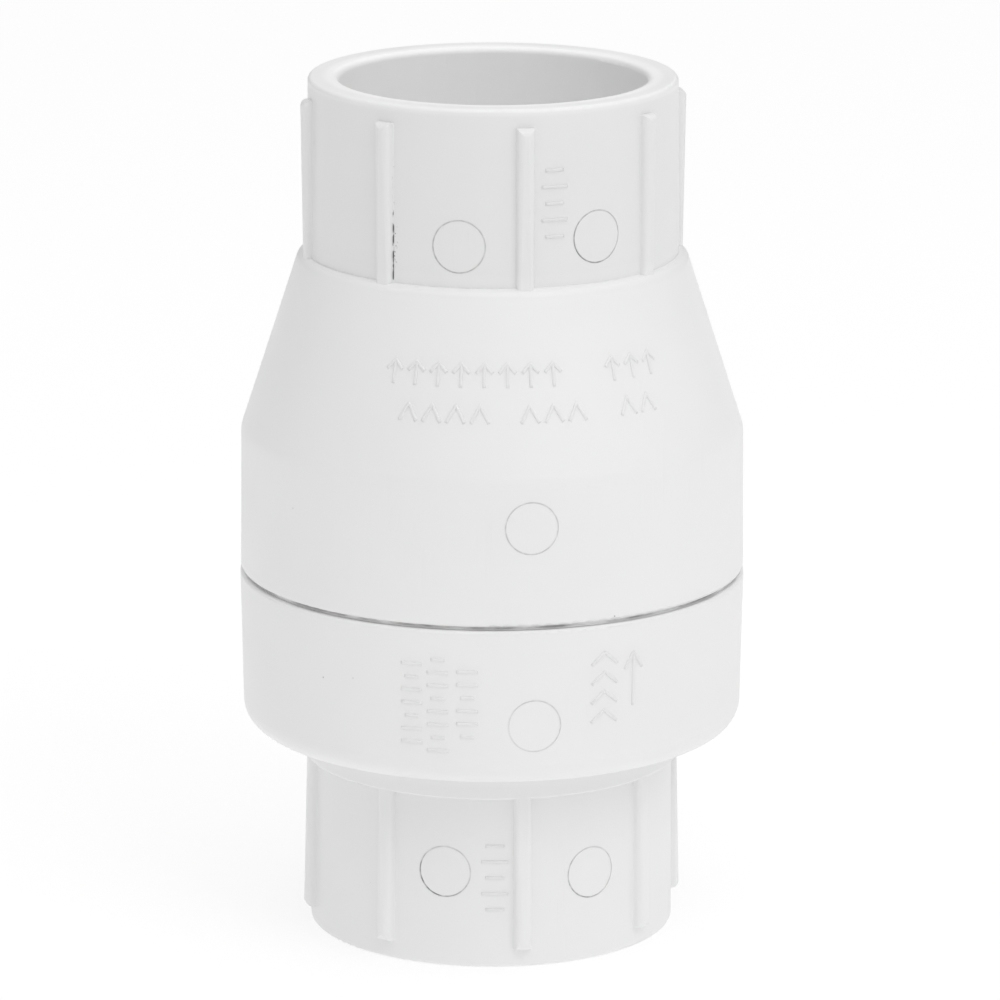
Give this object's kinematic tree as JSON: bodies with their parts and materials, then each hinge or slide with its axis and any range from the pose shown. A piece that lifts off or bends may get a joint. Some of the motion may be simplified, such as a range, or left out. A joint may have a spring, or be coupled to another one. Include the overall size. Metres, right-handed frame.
{
  "type": "check valve",
  "caption": "In-line swing check valve in white rigid plastic: ribbed pipe sockets at both ends, a welded two-part body, and a rubber-faced flapper that gravity closes.",
  "frame": {"origin": "centre of the inlet end face, on the socket axis", "axes": "+Z along the flow axis from the inlet socket to the outlet socket, X along the flapper's hinge pin, +Y towards the hinge side"},
  "size_m": [0.0804, 0.0804, 0.1376],
  "materials": {
    "body_pvc": "satin moulded white rigid PVC",
    "carrier_plastic": "satin moulded off-white plastic",
    "arm_plastic": "moulded dark grey glass-filled plastic",
    "bush_plastic": "smooth natural bearing plastic",
    "seal_rubber": "matt black moulded rubber",
    "steel": "brushed stainless steel"
  },
  "bodies": {
    "body": {"inlet_shell": "body_pvc", "outlet_shell": "body_pvc", "seat_carrier": "carrier_plastic", "carrier_seal": "seal_rubber", "hinge_pin": "steel", "pin_clips": "steel"},
    "flapper": {"flapper_arm": "arm_plastic", "backing_disc": "steel", "facing": "seal_rubber", "retainer_plate": "steel", "clamp_screw": "steel", "clamp_washer": "steel", "clamp_nut": "steel", "stop_bumper": "seal_rubber", "hinge_bushes": "bush_plastic"}
  },
  "joints": [
    {"name": "flapper_hinge", "type": "hinge", "parent": "body", "child": "flapper", "pos_m": [0, 0.02737, 0.0515], "axis": [-1, 0, 0], "range_deg": [0, 75]}
  ]
}
